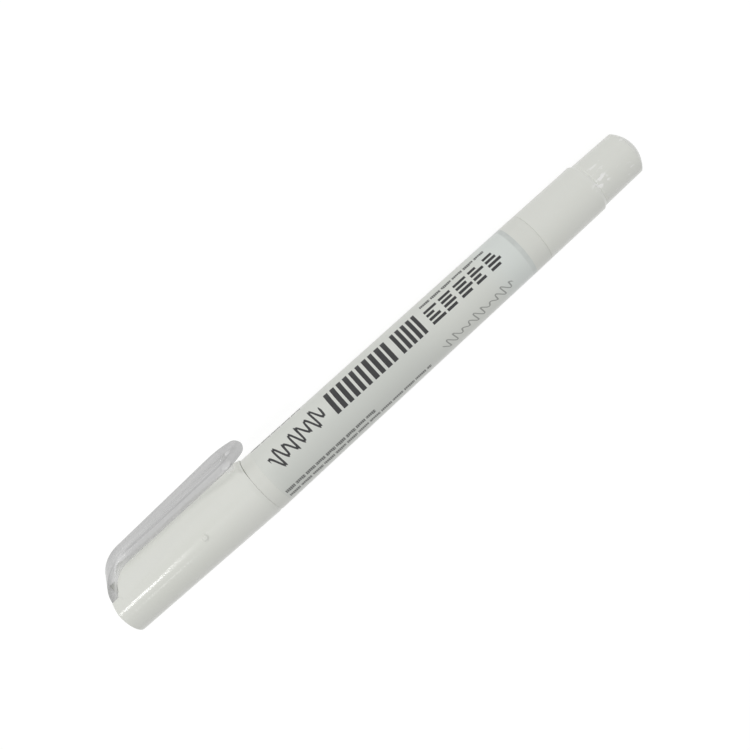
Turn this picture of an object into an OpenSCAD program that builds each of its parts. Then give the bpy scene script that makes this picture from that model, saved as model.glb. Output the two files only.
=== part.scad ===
// Capped liquid-chalk pen, lying on its side as it comes to rest.
// The pen's own frame: z runs along its axis from the cap's closed end to the tail, x points at the clip.
// place() lays that frame down with the tail toward -X and the clip's tip touching the floor on the -Y side.

/* [Whole pen] */
// Length from the cap's closed end to the tip of the tail, mm
pen_length = 139.2; // [130:0.1:150]
// Roll of the clip away from straight up, where its tip meets the floor, degrees
clip_roll = 111.5; // [100:0.1:120]

/* [Cap] */
// Length of the cap, mm
cap_length = 37.35; // [30:0.1:50]
// Radius at the closed end, mm
cap_end_radius = 5.6; // [4:0.05:8]
// Radius at the mouth, mm
cap_mouth_radius = 6.5; // [5:0.05:9]
// Rounding of the closed end's edge, mm
cap_edge_round = 0.25; // [0.1:0.05:1.5]
// Length of the eased lip at the mouth, mm
cap_lip = 0.9; // [0.2:0.1:2]
// How far the lip is eased inward, mm
cap_lip_ease = 0.15; // [0.05:0.01:0.4]
// Thickness of the solid closed end that holds the clip, mm
cap_end_wall = 4.4; // [3:0.1:6]
// Radius of the bore near the mouth, mm
cap_bore_radius = 5.6; // [5:0.05:6]
// Radius of the bore further in, mm
cap_deep_radius = 4.7; // [4:0.05:5]
// Place along the axis where the bore narrows, mm
cap_step_at = 24.85; // [20:0.1:30]
// Half width of the flat top of the keel under the clip, mm
keel_half_width = 2.2; // [1:0.1:3]
// Height of the keel's flat top above the axis, mm
keel_top = 7.0; // [6:0.05:8]
// Place along the axis where the keel starts, behind the clip's foot, mm
keel_front = 2.5; // [2:0.1:4]
// Place along the axis where the heel that fills the arch starts to slope down, mm
heel_top_at = 5.65; // [4:0.1:8]
// Place along the axis where the heel meets the keel, mm
heel_foot_at = 7.7; // [6:0.1:12]
// Place along the axis of the moulding gate's nub, mm
gate_along = 23.15; // [15:0.1:30]
// Turn of the nub round the axis from the clip, degrees
gate_turn = 62; // [0:1:180]
// Radius of the nub at its foot, mm
gate_radius = 0.75; // [0.2:0.05:1]
// Radius of the nub at its top, mm
gate_top_radius = 0.4; // [0.1:0.05:1]
// Height of the nub, mm
gate_height = 0.25; // [0.05:0.01:0.4]

/* [Clip] */
// Radius of the outside of the arch, mm
arch_outer_radius = 8.95; // [6:0.05:10]
// Radius of the inside of the arch, mm
arch_inner_radius = 7.0; // [4:0.05:9]
// Place along the axis of the arch's centre, mm
arch_centre_along = 8.95; // [7:0.1:12]
// Height of the arch's centre above the axis, mm
arch_centre_height = 1.85; // [1:0.05:5]
// Height of the arm's outer face near the tip, mm
arm_tip_height = 11.75; // [10:0.05:13]
// Height of the arm's inner face near the tip, mm
arm_inner_height = 8.85; // [8:0.05:10]
// Place along the axis of the very tip, mm
clip_end = 40.75; // [38:0.05:45]
// Half width of the clip at its foot, mm
clip_foot_half_width = 3.0; // [2:0.05:4]
// Half width of the clip where the arm leaves the arch, mm
clip_waist_half_width = 2.55; // [2:0.05:4]
// Half width of the clip at its tip, mm
clip_tip_half_width = 2.45; // [1.5:0.05:4]
// Height of the bottom of the clip's foot above the axis, mm
clip_foot_bottom = 2.6; // [2:0.1:4]
// Place along the axis where the arm starts to narrow to its tip, mm
clip_taper_at = 33.0; // [30:0.1:38]
// Radius of the tip's end in the view from above, mm
clip_point_radius = 0.4; // [0.2:0.1:2]
// Radius of the round-ended bump under the arm, mm
bump_radius = 1.1; // [0.8:0.05:3]
// Height of the centre of the bump's round end above the axis, mm
bump_height = 8.2; // [7.8:0.05:10]
// Place along the axis of the bump, mm
bump_along = 35.4; // [30:0.1:38]

/* [Inner cap] */
// Length of the soft liner, mm
liner_length = 13.1; // [10:0.1:16]
// Inside radius of the liner, mm
liner_bore_radius = 3.4; // [2:0.05:4]
// Thickness of the liner's closed end, mm
liner_floor = 0.8; // [0.5:0.1:2]

/* [Barrel] */
// Place along the axis of the front edge of the neck, mm
neck_start = 26.85; // [22:0.1:32]
// Radius of the neck inside the cap, mm
neck_radius = 5.3; // [4:0.05:6]
// Place along the axis of the barrel's shoulder, mm
shoulder_at = 37.5; // [35:0.1:45]
// Radius of the barrel at the shoulder, mm
shoulder_radius = 6.45; // [5:0.05:8]
// Place along the axis of the joint with the tail plug, mm
tail_joint_at = 111.65; // [100:0.1:120]
// Radius at the joint with the tail plug, mm
tail_joint_radius = 5.79; // [4:0.01:7]
// Radius of the bore through the neck, mm
neck_bore_radius = 4.6; // [4:0.05:5]
// Place along the axis of the snap bead on the neck, mm
bead_at = 32.65; // [30:0.1:36]
// Height of the snap bead, mm
bead_height = 0.12; // [0:0.01:0.2]

/* [Label sleeve] */
// Place along the axis where the film starts, mm
sleeve_start = 40.15; // [39:0.1:50]
// Place along the axis where the film ends, mm
sleeve_end = 107.65; // [90:0.1:111]
// Thickness of the film, mm
sleeve_thickness = 0.1; // [0.05:0.01:0.3]

/* [Tail plug] */
// Place along the axis where the shoulder of the post ends, mm
post_start = 127.15; // [120:0.1:132]
// Radius of the body just before the post, mm
post_shoulder_radius = 5.65; // [5:0.01:7]
// Radius of the post at its start, mm
post_radius = 5.25; // [4:0.05:6]
// Radius of the post at its end, mm
post_end_radius = 5.04; // [4:0.01:6]
// Height of the rounded end, mm
tail_dome = 2.1; // [0.5:0.1:3]
// Length of the spigot inside the barrel, mm
spigot_length = 8; // [4:0.5:12]
// Thickness of the plug's walls, mm
plug_wall = 1.1; // [0.8:0.1:2]

/* [Nose and nib] */
// Place along the axis of the nose's front edge, mm
nose_front = 13.25; // [10:0.1:18]
// Radius of the nose over the nib, mm
nose_radius = 3.1; // [2.5:0.05:3.3]
// Place along the axis of the nose's shoulder, mm
nose_shoulder = 18.05; // [16:0.1:22]
// Radius at the nose's shoulder, mm
nose_shoulder_radius = 4.1; // [3:0.05:4.4]
// Radius at the back of the nose, mm
nose_base_radius = 4.4; // [3.5:0.05:4.6]
// Running clearance between the nib and its bore, mm
running_fit = 0.08; // [0.01:0.01:0.1]
// Radius of the nib, mm
nib_radius = 1.5; // [1:0.05:3]
// Place along the axis of the nib's writing tip, mm
nib_tip = 7.85; // [6:0.1:12]
// Place along the axis of the nib's back end, mm
nib_back = 24.65; // [20:0.1:30]
// Radius of the steel mixing ball, mm
ball_radius = 2.5; // [1.5:0.1:4]
// Place along the axis of the mixing ball, mm
ball_along = 62; // [45:1:95]

/* [Valve] */
// Radius of the spring's coil, to the middle of the wire, mm
coil_radius = 2.45; // [2:0.05:3]
// Radius of the spring wire, mm
wire_radius = 0.22; // [0.1:0.01:0.5]
// Number of turns in the spring
coil_turns = 4; // [3:1:8]
// Which piece to show

/* [Hidden] */
$fn = 96;
fit = 0.02;
ease = 0.15;
cap_slope = (cap_mouth_radius - cap_end_radius) / cap_length;
barrel_slope = (shoulder_radius - tail_joint_radius) / (tail_joint_at - shoulder_at);
rest_front_at = cap_length - cap_lip;
rest_front_radius = cap_end_radius + cap_slope * rest_front_at;
post_slope_length = 0.7;
rest_back_at = post_start - post_slope_length;
axis_tilt = atan((rest_front_radius - post_shoulder_radius) / (rest_back_at - rest_front_at));
axis_height = rest_front_radius * cos(axis_tilt) - (pen_length / 2 - rest_front_at) * sin(axis_tilt);
clip_band = arch_outer_radius - arch_inner_radius;
arch_top = arch_centre_height + arch_inner_radius;
tip_round = (arm_tip_height - arm_inner_height) / 2;
tip_centre = [clip_end - tip_round, arm_inner_height + tip_round];
arm_start_height = arch_top + clip_band;
arm_rise = (arm_tip_height - arm_start_height) / (tip_centre[0] - arch_centre_along);
widest_height = arm_start_height + arm_rise * (clip_taper_at - arch_centre_along);
clip_reach = widest_height * sin(clip_roll) - clip_tip_half_width * cos(clip_roll);
side_shift = (clip_reach - cap_mouth_radius) / 2;
liner_end = cap_end_wall + liner_length;
liner_radius = 4.5;
bore_front_radius = 5.35;
bore_back_radius = 4.75;
bore_slope = (bore_front_radius - bore_back_radius) / (tail_joint_at - shoulder_at);
ball_drop = bore_front_radius - bore_slope * (ball_along - shoulder_at) - ball_radius - fit;
holder_flange = [25.85, 26.85];
holder_end = 36.25;
chamber_radius = 3.2;
chamber_front = 21.65;
seat = [28.25, 29.85];
seat_bore_radius = 1.45;
seat_chamfer = 0.5;
stop_bore_radius = 1.3;
pin_flange = [30.85, 31.45];
stop_front = 35.25;

// Lays a piece from the pen's own frame down on the floor, on the cap's lip and the shoulder of the tail.
module place() {
    translate([0, side_shift, axis_height])
        rotate([0, -axis_tilt, 0])
            translate([pen_length / 2, 0, 0])
                rotate([clip_roll, 0, 0])
                    rotate([0, -90, 0])
                        children();
}

// Radius of the cap's cone at a place along the axis.
function cap_radius(along) = cap_end_radius + cap_slope * along;

// Radius of the barrel and the tail plug's collar at a place along the axis.
function barrel_radius(along) = shoulder_radius - barrel_slope * (along - shoulder_at);

// A solid turned round the axis from a half outline of [radius, along] points.
module turned(points) {
    rotate_extrude()
        polygon(points);
}

// A side shape drawn as (along, height above the axis), spread evenly to both sides of the clip's middle plane.
module spread(half_width) {
    rotate([-90, -90, 0])
        translate([0, 0, -half_width])
            linear_extrude(2 * half_width)
                children();
}

// The cap's outside: a slim cone with a rounded edge at the closed end and an eased lip at the mouth.
module cap_outside() {
    rotate_extrude() {
        polygon([
            [0, 0],
            [cap_end_radius - cap_edge_round, 0],
            [cap_radius(cap_edge_round), cap_edge_round],
            [cap_radius(cap_length - cap_lip), cap_length - cap_lip],
            [cap_mouth_radius - cap_lip_ease, cap_length],
            [0, cap_length]
        ]);
        intersection() {
            translate([cap_end_radius - cap_edge_round, cap_edge_round])
                circle(cap_edge_round);
            square([2 * cap_end_radius, cap_edge_round]);
        }
    }
}

// The cap's inside: a wide bore for the barrel's neck, and a narrower one for the liner and the nose.
module cap_bore() {
    slope = 0.6;
    lead_in = 0.3;
    beyond = 1;
    turned([
        [0, cap_end_wall],
        [liner_radius, cap_end_wall],
        [liner_radius, liner_end],
        [cap_deep_radius, liner_end + slope],
        [cap_deep_radius, cap_step_at],
        [cap_bore_radius, cap_step_at + slope],
        [cap_bore_radius, cap_length - lead_in],
        [cap_bore_radius + lead_in, cap_length],
        [cap_bore_radius + lead_in, cap_length + beyond],
        [0, cap_length + beyond]
    ]);
}

// Cross-section of the keel: two flats that leave the closed end's circle at a tangent and lean together.
module keel_section() {
    corner = [keel_top, keel_half_width];
    flat_turn = atan(keel_half_width / keel_top) + acos(cap_end_radius / norm(corner));
    tangent_point = cap_end_radius * [cos(flat_turn), sin(flat_turn)];
    top_half_width = (cap_end_radius - arch_top * cos(flat_turn)) / sin(flat_turn);
    polygon([
        [0, 0],
        tangent_point,
        [arch_top, top_half_width],
        [arch_top, -top_half_width],
        [tangent_point[0], -tangent_point[1]]
    ]);
}

// Side shape of the keel: a heel that fills the arch, a slope down, and a flat top to the eased mouth.
module keel_side() {
    polygon([
        [keel_front, 0],
        [keel_front, keel_top],
        [cap_length - cap_lip, keel_top],
        [cap_length - cap_lip_ease, cap_mouth_radius - cap_lip_ease],
        [cap_length - cap_lip_ease, 0]
    ]);
    intersection() {
        translate([arch_centre_along, arch_centre_height])
            circle(arch_inner_radius);
        polygon([
            [0, 0],
            [0, arch_top],
            [heel_top_at, arch_top],
            [heel_foot_at, keel_top],
            [heel_foot_at, 0]
        ]);
    }
}

// The keel that the clip's arm lies over, with its heel under the arch.
module cap_keel() {
    intersection() {
        linear_extrude(cap_length)
            keel_section();
        spread(cap_mouth_radius)
            keel_side();
    }
}

// The small nub that the moulding gate leaves on the cap's side, sunk into the wall by its own height.
module gate_nub() {
    rotate([0, 0, gate_turn])
        translate([cap_radius(gate_along) - gate_height, 0, gate_along])
            rotate([0, 90, 0])
                cylinder(r1 = 2 * gate_radius - gate_top_radius, r2 = gate_top_radius, h = 2 * gate_height);
}

// The space outside the arch's outer circle, on the clip's side of the closed end.
module arch_surround() {
    beyond = 1;
    difference() {
        translate([-beyond, arch_centre_height])
            square([arch_centre_along + beyond, arch_outer_radius + beyond]);
        translate([arch_centre_along, arch_centre_height])
            circle(arch_outer_radius);
    }
}

// The clip seen from the side: foot, arch, wedge-shaped arm and rounded tip, grown all round by a clearance.
module clip_side(grow) {
    foot_low = clip_foot_bottom - grow;
    difference() {
        union() {
            intersection() {
                translate([arch_centre_along, arch_centre_height])
                    circle(arch_outer_radius + grow);
                translate([-grow, foot_low])
                    square([arch_centre_along + grow, arm_start_height]);
            }
            polygon([
                [arch_centre_along, arch_top - grow],
                [arch_centre_along, arm_start_height + grow],
                [tip_centre[0], arm_tip_height + grow],
                [tip_centre[0], arm_inner_height - grow]
            ]);
            translate(tip_centre)
                circle(tip_round + grow);
        }
        translate([arch_centre_along, arch_centre_height])
            circle(arch_inner_radius - grow);
    }
}

// The clip seen from above: widest at the foot, then narrowed by two arcs to a small round point.
module clip_plan() {
    point_at = clip_end - clip_point_radius;
    taper = point_at - clip_taper_at;
    narrowing = clip_tip_half_width - clip_point_radius;
    arc_radius = (pow(taper, 2) / narrowing + clip_tip_half_width + clip_point_radius) / 2;
    arc_drop = arc_radius - clip_tip_half_width;
    touch_at = clip_taper_at + taper * arc_radius / (arc_radius - clip_point_radius);
    polygon([
        [0, -clip_foot_half_width],
        [keel_front, -clip_foot_half_width],
        [arch_centre_along, -clip_waist_half_width],
        [clip_taper_at, -clip_tip_half_width],
        [clip_taper_at, clip_tip_half_width],
        [arch_centre_along, clip_waist_half_width],
        [keel_front, clip_foot_half_width],
        [0, clip_foot_half_width]
    ]);
    intersection() {
        translate([clip_taper_at, -arc_drop])
            circle(arc_radius);
        translate([clip_taper_at, arc_drop])
            circle(arc_radius);
        translate([clip_taper_at, -clip_tip_half_width])
            square([touch_at - clip_taper_at, 2 * clip_tip_half_width]);
    }
    translate([point_at, 0])
        circle(clip_point_radius);
}

// The bump under the arm: a short stud with a round end, sunk into the arm.
module bump() {
    rotate_extrude() {
        square([bump_radius, arm_inner_height - bump_height + tip_round / 2]);
        intersection() {
            circle(bump_radius);
            translate([0, -bump_radius])
                square(bump_radius);
        }
    }
}

// White moulded cap with its keel and heel and the gate's nub. On the clip's side the closed end follows the arch's
// circle, and the slot for the clip's foot is open to it.
module cap() {
    color([0.93, 0.94, 0.91])
        place()
            difference() {
                union() {
                    cap_outside();
                    cap_keel();
                    gate_nub();
                }
                cap_bore();
                spread(cap_mouth_radius)
                    arch_surround();
                spread(clip_foot_half_width + fit)
                    clip_side(fit);
            }
}

// Clear clip: its foot sits in the cap's slot, its arch lies over the heel, and its bump hovers over the keel.
module clip() {
    color([0.78, 0.82, 0.84, 0.5])
        place() {
            intersection() {
                spread(clip_foot_half_width)
                    clip_side(0);
                rotate([180, -90, 0])
                    linear_extrude(arm_tip_height + 1)
                        clip_plan();
            }
            translate([bump_height, 0, bump_along])
                rotate([0, 90, 0])
                    bump();
        }
}

// Soft liner in the cap's closed end that keeps the nib from drying.
module inner_cap() {
    lead_in = 0.4;
    color([0.85, 0.88, 0.9])
        place()
            turned([
                [0, cap_end_wall],
                [liner_radius - fit, cap_end_wall],
                [liner_radius - fit, liner_end],
                [liner_bore_radius + lead_in, liner_end],
                [liner_bore_radius, liner_end - lead_in],
                [liner_bore_radius, cap_end_wall + liner_floor],
                [0, cap_end_wall + liner_floor]
            ]);
}

// Long tapered tube with a neck for the cap and a shallow seat for the film.
module barrel() {
    bead_foot = 0.5;
    bead_flat = 0.2;
    color([0.93, 0.95, 0.94])
        place()
            turned([
                [neck_bore_radius, neck_start],
                [neck_radius - ease, neck_start],
                [neck_radius, neck_start + ease],
                [neck_radius, bead_at - bead_foot],
                [neck_radius + bead_height, bead_at - bead_flat],
                [neck_radius + bead_height, bead_at + bead_flat],
                [neck_radius, bead_at + bead_foot],
                [neck_radius, shoulder_at],
                [shoulder_radius - ease, shoulder_at],
                [shoulder_radius, shoulder_at + ease],
                [barrel_radius(sleeve_start), sleeve_start],
                [barrel_radius(sleeve_start) - sleeve_thickness, sleeve_start],
                [barrel_radius(sleeve_end) - sleeve_thickness, sleeve_end],
                [barrel_radius(sleeve_end), sleeve_end],
                [barrel_radius(tail_joint_at - ease), tail_joint_at - ease],
                [tail_joint_radius - ease, tail_joint_at],
                [bore_back_radius, tail_joint_at],
                [bore_front_radius, shoulder_at + 1],
                [neck_bore_radius, shoulder_at]
            ]);
}

// Printed film that sits flush round the barrel.
module label_sleeve() {
    color([0.95, 0.96, 0.97])
        place()
            turned([
                [barrel_radius(sleeve_start) - sleeve_thickness, sleeve_start],
                [barrel_radius(sleeve_start), sleeve_start],
                [barrel_radius(sleeve_end), sleeve_end],
                [barrel_radius(sleeve_end) - sleeve_thickness, sleeve_end]
            ]);
}

// Hollow end piece: spigot, collar, sloped shoulder and a slim post with a rounded end.
module tail_plug() {
    lead_in = 0.3;
    spigot_front = tail_joint_at - spigot_length;
    hollow_end = post_start + 7;
    dome_radius = (pow(post_end_radius, 2) + pow(tail_dome, 2)) / (2 * tail_dome);
    color([0.93, 0.94, 0.91])
        place()
            difference() {
                union() {
                    turned([
                        [0, spigot_front],
                        [bore_back_radius - lead_in, spigot_front],
                        [bore_back_radius - fit, spigot_front + 2 * lead_in],
                        [bore_back_radius - fit, tail_joint_at],
                        [tail_joint_radius - ease, tail_joint_at],
                        [barrel_radius(tail_joint_at + ease), tail_joint_at + ease],
                        [post_shoulder_radius, rest_back_at],
                        [post_radius, post_start],
                        [0, post_start]
                    ]);
                    intersection() {
                        turned([
                            [0, post_start - 1],
                            [post_radius, post_start - 1],
                            [post_radius, post_start],
                            [post_end_radius, pen_length - tail_dome],
                            [post_end_radius, pen_length],
                            [0, pen_length]
                        ]);
                        translate([0, 0, pen_length - dome_radius])
                            sphere(dome_radius);
                    }
                }
                turned([
                    [0, 0],
                    [bore_back_radius - plug_wall, 0],
                    [bore_back_radius - plug_wall, hollow_end],
                    [0, hollow_end]
                ]);
            }
}

// Nose piece: stepped cone with a bore for the nib, a flange, and a hollow plug that holds the valve.
module nib_holder() {
    nib_bore = nib_radius + running_fit;
    chamfer = 0.2;
    front_slope = [0.8, 1.2];
    color([0.9, 0.91, 0.9])
        place()
            turned([
                [nib_bore + chamfer, nose_front],
                [nose_radius - front_slope[0], nose_front],
                [nose_radius, nose_front + front_slope[1]],
                [nose_radius, nose_shoulder],
                [nose_shoulder_radius, nose_shoulder + front_slope[1]],
                [nose_base_radius, holder_flange[0]],
                [neck_radius - ease, holder_flange[0]],
                [neck_radius - ease, holder_flange[1]],
                [neck_bore_radius - fit, holder_flange[1]],
                [neck_bore_radius - fit, holder_end - 2 * chamfer],
                [neck_bore_radius - chamfer, holder_end],
                [chamber_radius, holder_end],
                [chamber_radius, chamber_front],
                [nib_bore, chamber_front],
                [nib_bore, nose_front + chamfer]
            ]);
}

// Bullet-shaped fibre nib.
module nib() {
    point_radius = 0.62;
    point_at = nib_tip + point_radius;
    cone_end = nib_tip + 2;
    cone_end_radius = 0.82 * nib_radius;
    color([0.96, 0.96, 0.95])
        place() {
            turned([
                [0, point_at],
                [point_radius, point_at],
                [cone_end_radius, cone_end],
                [nib_radius, cone_end + 1],
                [nib_radius, nib_back - ease],
                [nib_radius - ease, nib_back],
                [0, nib_back]
            ]);
            translate([0, 0, point_at])
                sphere(point_radius);
        }
}

// Rubber ring that the valve pin closes on.
module valve_seat() {
    color([0.25, 0.26, 0.28])
        place()
            turned([
                [seat_bore_radius, seat[0]],
                [chamber_radius - fit, seat[0]],
                [chamber_radius - fit, seat[1]],
                [seat_bore_radius + seat_chamfer, seat[1]],
                [seat_bore_radius, seat[1] - seat_chamfer]
            ]);
}

// Pin with a foot against the nib's back, a closing cone, a flange for the spring and a guide stem.
module valve_pin() {
    foot_radius = 2.4;
    foot = 1.1;
    stem = 0.9;
    slope = 0.4;
    cone_gap = 0.1;
    cone_radius = seat_bore_radius + 1.3 * seat_chamfer;
    cone_foot = seat[1] - seat_chamfer + cone_gap;
    guide_radius = coil_radius - 0.6;
    stem_end = stop_front - 1;
    color([0.86, 0.88, 0.9])
        place()
            turned([
                [0, nib_back],
                [nib_radius - ease, nib_back],
                [foot_radius, nib_back + slope],
                [foot_radius, nib_back + foot],
                [stem, nib_back + foot + slope],
                [stem, cone_foot + stem - seat_bore_radius],
                [cone_radius, cone_foot + cone_radius - seat_bore_radius],
                [cone_radius, pin_flange[0]],
                [coil_radius + slope, pin_flange[0]],
                [coil_radius + slope, pin_flange[1]],
                [guide_radius, pin_flange[1]],
                [guide_radius, pin_flange[1] + slope],
                [stem, pin_flange[1] + 2 * slope],
                [stem, stem_end],
                [stem - ease, stem_end + ease],
                [0, stem_end + ease]
            ]);
}

// Coil spring that pushes the pin forward: a round wire swept up a helix.
module valve_spring() {
    sides = 8;
    steps = 24 * coil_turns;
    low = pin_flange[1] + wire_radius;
    rise = stop_front - wire_radius - low;
    wire = [
        for (i = [0:steps])
            for (j = [0:sides - 1])
                let (turn = 360 * coil_turns * i / steps)
                let (reach = coil_radius + wire_radius * cos(360 * j / sides))
                [reach * cos(turn), reach * sin(turn), low + rise * i / steps + wire_radius * sin(360 * j / sides)]
    ];
    skin = [
        for (i = [0:steps - 1])
            for (j = [0:sides - 1])
                let (k = (j + 1) % sides)
                [i * sides + j, (i + 1) * sides + j, (i + 1) * sides + k, i * sides + k]
    ];
    ends = [
        [for (j = [0:sides - 1]) j],
        [for (j = [sides - 1:-1:0]) steps * sides + j]
    ];
    color([0.7, 0.71, 0.72])
        place()
            polyhedron(points = wire, faces = concat(skin, ends));
}

// Ring pushed into the plug's back end that the spring bears on.
module spring_stop() {
    color([0.86, 0.88, 0.9])
        place()
            turned([
                [stop_bore_radius, stop_front],
                [chamber_radius - fit, stop_front],
                [chamber_radius - fit, holder_end],
                [stop_bore_radius, holder_end]
            ]);
}

// Loose steel ball lying at the bottom of the ink space.
module mixing_ball() {
    color([0.75, 0.76, 0.78])
        place()
            translate([-cos(clip_roll) * ball_drop, -sin(clip_roll) * ball_drop, ball_along])
                sphere(ball_radius);
}

cap();
clip();
inner_cap();
barrel();
label_sleeve();
tail_plug();
nib_holder();
nib();
valve_seat();
valve_pin();
valve_spring();
spring_stop();
mixing_ball();
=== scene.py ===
"""Dresses the capped liquid-chalk pen: camera, light, finishes and the pieces with moulded edges.

The pen's own frame is (h, s, w) in millimetres: h points at the clip, s sideways, and w runs along the axis
from the cap's closed end to the tail. lay() takes it to the row frame, in metres.
"""

import math

import bpy
import numpy as np
from mathutils import Matrix, Vector


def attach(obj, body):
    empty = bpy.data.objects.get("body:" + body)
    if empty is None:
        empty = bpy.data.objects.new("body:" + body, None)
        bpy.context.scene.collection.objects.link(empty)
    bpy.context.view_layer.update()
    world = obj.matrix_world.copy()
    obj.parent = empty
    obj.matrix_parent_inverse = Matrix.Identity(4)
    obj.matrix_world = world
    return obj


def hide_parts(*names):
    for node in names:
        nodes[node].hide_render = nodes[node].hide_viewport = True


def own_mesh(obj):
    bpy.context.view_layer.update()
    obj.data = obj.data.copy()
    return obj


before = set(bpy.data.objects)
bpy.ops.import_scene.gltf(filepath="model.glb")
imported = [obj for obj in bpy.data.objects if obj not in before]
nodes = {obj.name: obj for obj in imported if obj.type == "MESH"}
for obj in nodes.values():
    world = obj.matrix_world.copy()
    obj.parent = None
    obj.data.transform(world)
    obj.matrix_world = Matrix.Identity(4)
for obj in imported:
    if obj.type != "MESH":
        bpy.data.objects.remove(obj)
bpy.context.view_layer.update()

# ---------------------------------------------------------------- the pen's sizes, in mm
MM = 0.001
PEN_LENGTH = 139.2
# how far the clip is turned from straight up as the pen lies
CLIP_ROLL = math.radians(111.5)

# cap: a cone with a short eased lip at its mouth
CAP_LENGTH = 37.35
CAP_END_RADIUS = 5.6
CAP_MOUTH_RADIUS = 6.5
CAP_LIP = 0.9
CAP_LIP_EASE = 0.15
# the cap's stepped bore: mouth, deep part, and the liner's inside down to the end wall
CAP_BORE_RADIUS = 5.6
CAP_DEEP_RADIUS = 4.7
CAP_STEP_AT = 24.85
CAP_END_WALL = 4.4
LINER_RADIUS = 4.5
LINER_END = 17.5
# the keel under the clip and its higher heel; the crest stands KEEL_RISE higher and falls over KEEL_FALL
KEEL_FRONT = 2.5
KEEL_HALF_WIDTH = 2.2
KEEL_TOP = 7.0
KEEL_RISE = 0.9
KEEL_FALL = (24.0, 36.0)
HEEL_TOP = 8.3
HEEL_TOP_AT = 5.9
HEEL_FOOT_AT = 9.5
# the nub left by the mould's gate
GATE_ALONG = 23.15
GATE_TURN = math.radians(62)
GATE_FOOT_RADIUS = 0.8
GATE_TOP_RADIUS = 0.4
GATE_HEIGHT = 0.25

# clip: an arch round ARCH_CENTRE (along, height), then an arm that rises to the tip, with a stud under it
ARCH_CENTRE = (8.95, 1.85)
ARCH_OUTER = 8.95
ARCH_INNER = 7.0
ARM_TIP_HEIGHT = 11.75
ARM_INNER_HEIGHT = 8.85
CLIP_END = 40.75
CLIP_FOOT_HALF_WIDTH = 3.0
CLIP_WAIST_HALF_WIDTH = 2.55
CLIP_TIP_HALF_WIDTH = 2.45
CLIP_FOOT_BOTTOM = 2.6
CLIP_TAPER_AT = 33.0
CLIP_POINT_RADIUS = 0.4
BUMP_RADIUS = 1.1
BUMP_HEIGHT = 8.2
BUMP_ALONG = 35.4

# barrel: neck with a snap bead, shoulder, and a long taper to the tail joint, sunk a little for the sleeve;
# its bore narrows to the neck's over BORE_FUNNEL
NECK_START = 26.85
NECK_RADIUS = 5.3
NECK_BORE_RADIUS = 4.6
BEAD_AT = 32.65
BEAD_HEIGHT = 0.12
BEAD_HALF_BASE = 0.5
BEAD_HALF_CREST = 0.2
SHOULDER_AT = 37.5
SHOULDER_RADIUS = 6.45
SHOULDER_FORWARD = 0.1
BORE_FRONT_RADIUS = 5.35
BORE_BACK_RADIUS = 4.75
BORE_FUNNEL = 1
SLEEVE = (40.15, 107.65)
SLEEVE_THICKNESS = 0.1
TAIL_JOINT_AT = 111.65
TAIL_JOINT_RADIUS = 5.79

# tail: a slope from the plug's body down to the post
POST_START = 127.15
POST_SLOPE = 0.7
SLOPE_START = POST_START - POST_SLOPE
POST_SHOULDER_RADIUS = 5.65

# valve spring, between the pin's flange and the stop
SPRING_RADIUS = 2.45
SPRING_WIRE = 0.22
SPRING_TURNS = 4
SPRING_ENDS = (31.45, 35.25)

# worked out from the sizes above, as the solids do
CAP_SLOPE = (CAP_MOUTH_RADIUS - CAP_END_RADIUS) / CAP_LENGTH
REST_FRONT = CAP_LENGTH - CAP_LIP
REST_RADIUS = CAP_END_RADIUS + CAP_SLOPE * REST_FRONT
TILT = math.atan((REST_RADIUS - POST_SHOULDER_RADIUS) / (SLOPE_START - REST_FRONT))
AXIS_HEIGHT = REST_RADIUS * math.cos(TILT) - (PEN_LENGTH / 2 - REST_FRONT) * math.sin(TILT)
TIP_ROUND = (ARM_TIP_HEIGHT - ARM_INNER_HEIGHT) / 2
TIP_AT = CLIP_END - TIP_ROUND
ARM_START_HEIGHT = ARCH_CENTRE[1] + ARCH_OUTER
ARM_RISE = (ARM_TIP_HEIGHT - ARM_START_HEIGHT) / (TIP_AT - ARCH_CENTRE[0])
WIDEST_HEIGHT = ARM_START_HEIGHT + ARM_RISE * (CLIP_TAPER_AT - ARCH_CENTRE[0])
CLIP_REACH = WIDEST_HEIGHT * math.sin(CLIP_ROLL) - CLIP_TIP_HALF_WIDTH * math.cos(CLIP_ROLL)
SIDE_SHIFT = (CLIP_REACH - CAP_MOUTH_RADIUS) / 2

# columns: where the pen's h, s and w directions point in the row frame
TURN = (
    Matrix.Rotation(-TILT, 3, "Y")
    @ Matrix.Rotation(CLIP_ROLL, 3, "X")
    @ Matrix(((0, 0, -1), (0, 1, 0), (1, 0, 0)))
)
START = Vector((0, SIDE_SHIFT, AXIS_HEIGHT)) + Matrix.Rotation(-TILT, 3, "Y") @ Vector((PEN_LENGTH / 2, 0, 0))


def lay(h, s, w):
    """The pen's frame in mm to the row frame in metres, for whole arrays.

    The points are turned by TURN, and then the closed end's middle goes to START.
    """
    local = np.stack(np.broadcast_arrays(h, s, w), axis=-1)
    return (local @ np.array(TURN).T + np.array(START)) * MM


def pen_point(h, s, w):
    """One point of the pen's frame, in metres in the row frame."""
    return Vector(lay(h, s, w).tolist())


# ---------------------------------------------------------------- camera
# the camera looks from VIEW_DISTANCE, in metres, at a point AIM_ALONG the axis and AIM_ACROSS it, in mm
VIEW_FROM_CLIP = math.radians(60)
VIEW_DISTANCE = 0.183
LENS = 43.2
AIM_ALONG = 69.35
AIM_ACROSS = 0.93
# how far the tail's direction is turned in the picture
TAIL_TURN = math.radians(42.386)
TAIL_RIGHT = math.cos(TAIL_TURN)
TAIL_UP = math.sin(TAIL_TURN)

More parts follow.
